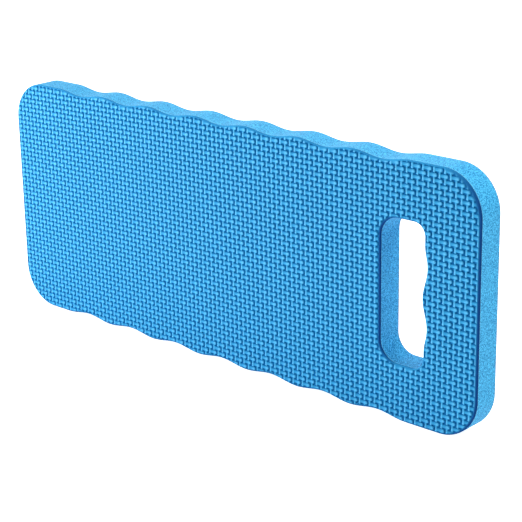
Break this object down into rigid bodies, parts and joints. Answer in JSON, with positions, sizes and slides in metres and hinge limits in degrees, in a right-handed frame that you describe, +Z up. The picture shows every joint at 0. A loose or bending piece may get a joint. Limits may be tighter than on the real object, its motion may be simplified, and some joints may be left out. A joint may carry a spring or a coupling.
{
  "type": "kneeling pad",
  "caption": "Flat foam kneeling pad with rounded corners, scalloped long edges, embossed faces and a hand slot near one end.",
  "frame": {"origin": "on the ground under the middle of the pad, which stands on one long edge", "axes": "+X along the length towards the hand slot, +Y out of the back face, -Y out of the front kneeling face, +Z up across the pad's width"},
  "size_m": [0.44, 0.022, 0.18],
  "materials": {
    "facing_foam": "matt sky blue foam skin pressed with a fine interlocking bar texture",
    "core_foam": "matt lighter blue closed-cell foam, die-cut, with fine open cells on the cut edge"
  },
  "bodies": {
    "root": {"front_facing": "facing_foam", "foam_core": "core_foam", "back_facing": "facing_foam"}
  },
  "joints": []
}
